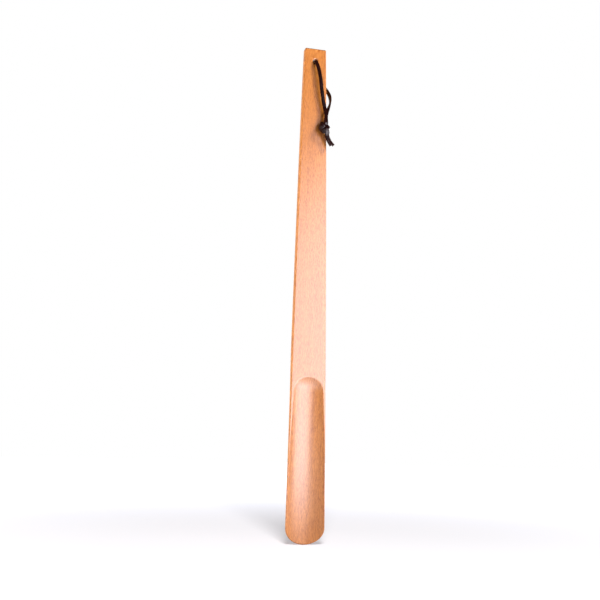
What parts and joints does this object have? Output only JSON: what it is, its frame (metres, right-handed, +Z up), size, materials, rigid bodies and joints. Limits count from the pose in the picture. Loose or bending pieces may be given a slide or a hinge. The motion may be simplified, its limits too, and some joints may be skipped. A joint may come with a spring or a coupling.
{
  "type": "long shoehorn",
  "caption": "Long flat wooden shoehorn with a scooped blade, a tapering handle and a knotted leather hanging cord through a hole near the top.",
  "frame": {"origin": "On the centre line, level with the lowest point of the blade's tip, in the plane of the handle's flat front face. The whole object's box is centred on it within 2 mm.", "axes": "+Z up along the handle from the blade's tip to the top end, +X to the right when facing the scoop, -Y out of the scoop towards the user's heel."},
  "size_m": [0.045, 0.0233, 0.55],
  "materials": {
    "beech": "satin clear lacquer over steamed beech",
    "leather_cord": "dark brown lace, soft sheen"
  },
  "bodies": {
    "shoehorn": {"beech_body": "beech"},
    "loop": {"cord_loop": "leather_cord"},
    "neck": {"cord_neck": "leather_cord"},
    "knot": {"cord_knot": "leather_cord"},
    "flat_tail": {"cord_tail_flat": "leather_cord"},
    "edge_tail": {"cord_tail_edge": "leather_cord"}
  },
  "joints": [
    {"name": "loop_swing", "type": "hinge", "parent": "shoehorn", "child": "loop", "pos_m": [0, 0.00425, 0.535], "axis": [0, -1, 0], "range_deg": [0, 300]},
    {"name": "neck_sway", "type": "hinge", "parent": "loop", "child": "neck", "pos_m": [0.0122, -0.0053, 0.4732], "axis": [0, -1, 0], "range_deg": [-15, 15], "stiffness_Nm_per_rad": 0.0005},
    {"name": "knot_lift", "type": "hinge", "parent": "neck", "child": "knot", "pos_m": [0.0112, -0.0056, 0.4612], "axis": [-1, 0, 0], "range_deg": [0, 45], "stiffness_Nm_per_rad": 0.0003},
    {"name": "flat_tail_flex", "type": "hinge", "parent": "knot", "child": "flat_tail", "pos_m": [0.0126, -0.0068, 0.4478], "axis": [0, -1, 0], "range_deg": [-20, 20], "stiffness_Nm_per_rad": 0.0001},
    {"name": "edge_tail_flex", "type": "hinge", "parent": "knot", "child": "edge_tail", "pos_m": [0.0152, -0.0032, 0.4482], "axis": [0, -1, 0], "range_deg": [-20, 20], "stiffness_Nm_per_rad": 0.0001}
  ]
}
